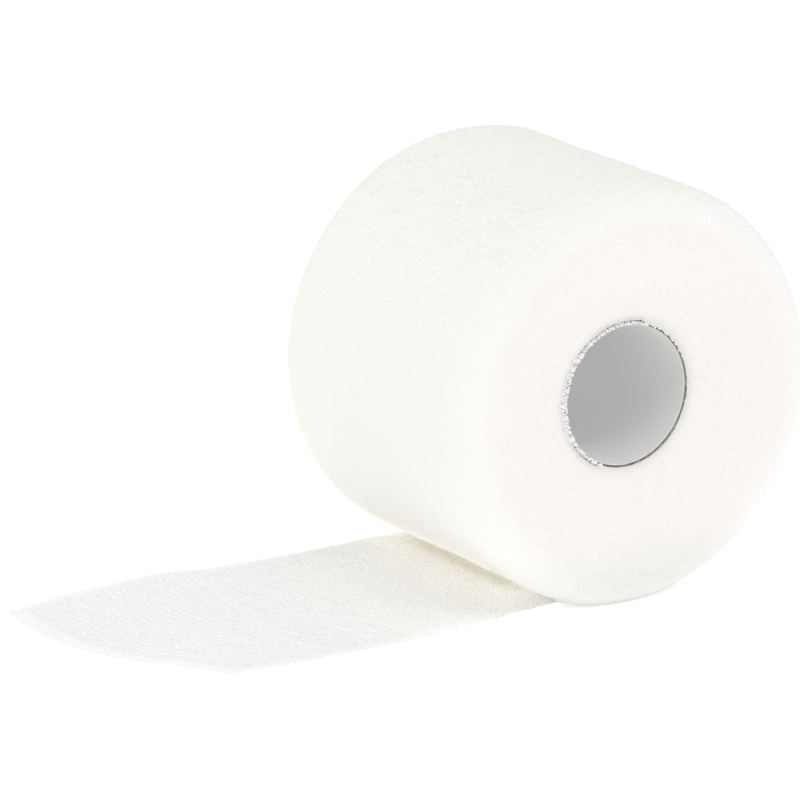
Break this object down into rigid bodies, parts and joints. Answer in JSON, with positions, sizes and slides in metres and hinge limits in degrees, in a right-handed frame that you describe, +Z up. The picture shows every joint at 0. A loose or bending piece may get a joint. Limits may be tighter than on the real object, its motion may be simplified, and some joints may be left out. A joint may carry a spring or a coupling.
{
  "type": "gauze bandage roll",
  "caption": "Roll of white conforming gauze bandage on a card core, lying on its side with its loose end drawn out along the surface.",
  "frame": {"origin": "middle of the flat spot that the roll rests on", "axes": "+Z up, the roll's axis along Y, the loose end running towards -X"},
  "size_m": [0.1329, 0.06, 0.0741],
  "materials": {
    "gauze": "matt crepe gauze",
    "card": "matt paper-faced card"
  },
  "bodies": {
    "root": {"roll": "gauze", "loose_end": "gauze", "core": "card"}
  },
  "joints": []
}
